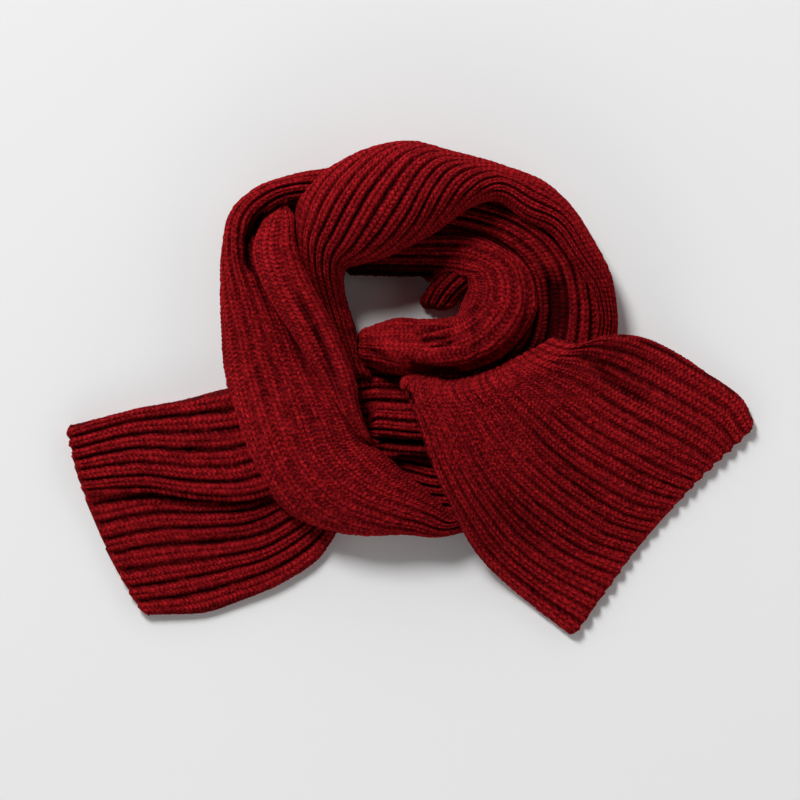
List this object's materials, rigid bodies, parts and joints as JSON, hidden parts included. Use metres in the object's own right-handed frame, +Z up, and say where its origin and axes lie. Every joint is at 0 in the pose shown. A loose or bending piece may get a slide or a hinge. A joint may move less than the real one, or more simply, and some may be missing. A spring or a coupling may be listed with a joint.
{
  "type": "rib knit scarf, wound in a loop and laid flat",
  "caption": "Chunky rib knit scarf bunched into an open loop, strands crossing over and under each other, with both plain ends spread flat.",
  "frame": {"origin": "middle of the bounding box in plan, on the surface that the scarf lies on", "axes": "+Z up from that surface, +X from the folded end towards the open end, +Y towards the top of the loop"},
  "size_m": [0.562, 0.4056, 0.072],
  "materials": {
    "red_rib_knit": "matt brushed wool-blend yarn, two-by-two rib"
  },
  "bodies": {
    "root": {"left_tail": "red_rib_knit", "lower_turn": "red_rib_knit", "inner_stub": "red_rib_knit", "left_band": "red_rib_knit", "inner_band": "red_rib_knit", "top_band": "red_rib_knit", "left_strand": "red_rib_knit", "right_tail": "red_rib_knit"}
  },
  "joints": []
}
